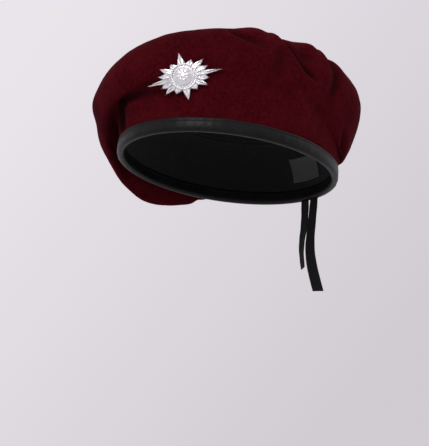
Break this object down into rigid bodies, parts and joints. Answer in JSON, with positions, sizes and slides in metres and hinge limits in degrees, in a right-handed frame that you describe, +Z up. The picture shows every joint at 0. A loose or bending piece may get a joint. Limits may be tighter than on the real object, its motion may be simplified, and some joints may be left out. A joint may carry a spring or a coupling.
{
  "type": "beret",
  "caption": "Wool felt beret with a leather binding, an adjusting drawstring, a lining and a pinned oval sunburst badge.",
  "frame": {"origin": "centre of the head opening, on the plane of the binding's lower edge", "axes": "+Z up through the crown, -Y to the wearer's front, +X to the wearer's left"},
  "size_m": [0.2075, 0.2496, 0.2002],
  "materials": {
    "wool_felt": "matt milled wool felt, maroon",
    "binding_leather": "semi-gloss black leather",
    "ribbon": "flat black woven ribbon",
    "lining_cloth": "black twill lining",
    "label_cloth": "blank woven label",
    "badge_metal": "bright cast silver-coloured metal",
    "post_wire": "plain wire",
    "buckram": "stiffened black cloth",
    "clutch_brass": "pressed brass",
    "vent_metal": "black enamelled eyelet"
  },
  "bodies": {
    "root": {"felt_crown": "wool_felt", "leather_binding": "binding_leather", "drawstring_loop": "ribbon", "lining_side": "lining_cloth", "lining_crown": "lining_cloth", "size_label": "label_cloth", "badge_plate": "badge_metal", "badge_boss": "badge_metal", "badge_ring": "badge_metal", "badge_posts": "post_wire", "badge_stiffener": "buckram", "vent_eyelets": "vent_metal", "vent_washers": "vent_metal"},
    "left_tail": {"drawstring_tail_left": "ribbon"},
    "right_tail": {"drawstring_tail_right": "ribbon"},
    "front_clutch": {"clutch_front": "clutch_brass"},
    "rear_clutch": {"clutch_rear": "clutch_brass"}
  },
  "joints": [
    {"name": "left_tail_swing", "type": "hinge", "parent": "root", "child": "left_tail", "pos_m": [0.006, 0.1033, 0], "axis": [1, 0, 0], "range_deg": [-15, 55]},
    {"name": "right_tail_swing", "type": "hinge", "parent": "root", "child": "right_tail", "pos_m": [-0.006, 0.1033, 0], "axis": [1, 0, 0], "range_deg": [-15, 55]},
    {"name": "front_clutch_pull", "type": "slide", "parent": "root", "child": "front_clutch", "axis": [-0.6796, 0.7106, 0.1821], "range_m": [0, 0.008]},
    {"name": "rear_clutch_pull", "type": "slide", "parent": "root", "child": "rear_clutch", "axis": [-0.6796, 0.7106, 0.1821], "range_m": [0, 0.008]}
  ]
}
